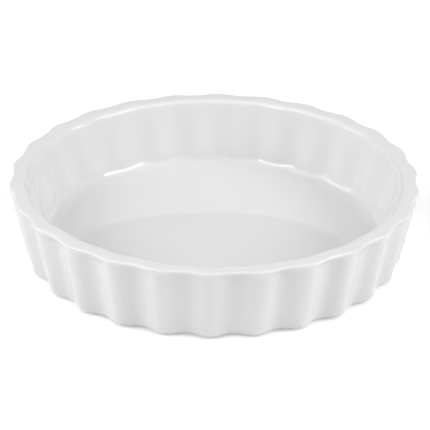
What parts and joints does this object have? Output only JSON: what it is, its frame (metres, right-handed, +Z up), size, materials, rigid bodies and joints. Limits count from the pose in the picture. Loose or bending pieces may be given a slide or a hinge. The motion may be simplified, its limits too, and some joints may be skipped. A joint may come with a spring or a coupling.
{
  "type": "souffle dish",
  "caption": "Shallow round baking dish of glazed porcelain with an upright fluted wall, a rounded lip, a flat floor with a soft cove, and a low foot ring.",
  "frame": {"origin": "middle of the dish in plan, on the plane that the foot ring stands on", "axes": "+Z up along the dish's axis, with a ridge of the fluted wall facing -Y and another facing +Y"},
  "size_m": [0.1262, 0.127, 0.025],
  "materials": {
    "glaze": "glossy white glaze over fired porcelain, with a bare matt foot ring"
  },
  "bodies": {
    "root": {"dish": "glaze"}
  },
  "joints": []
}
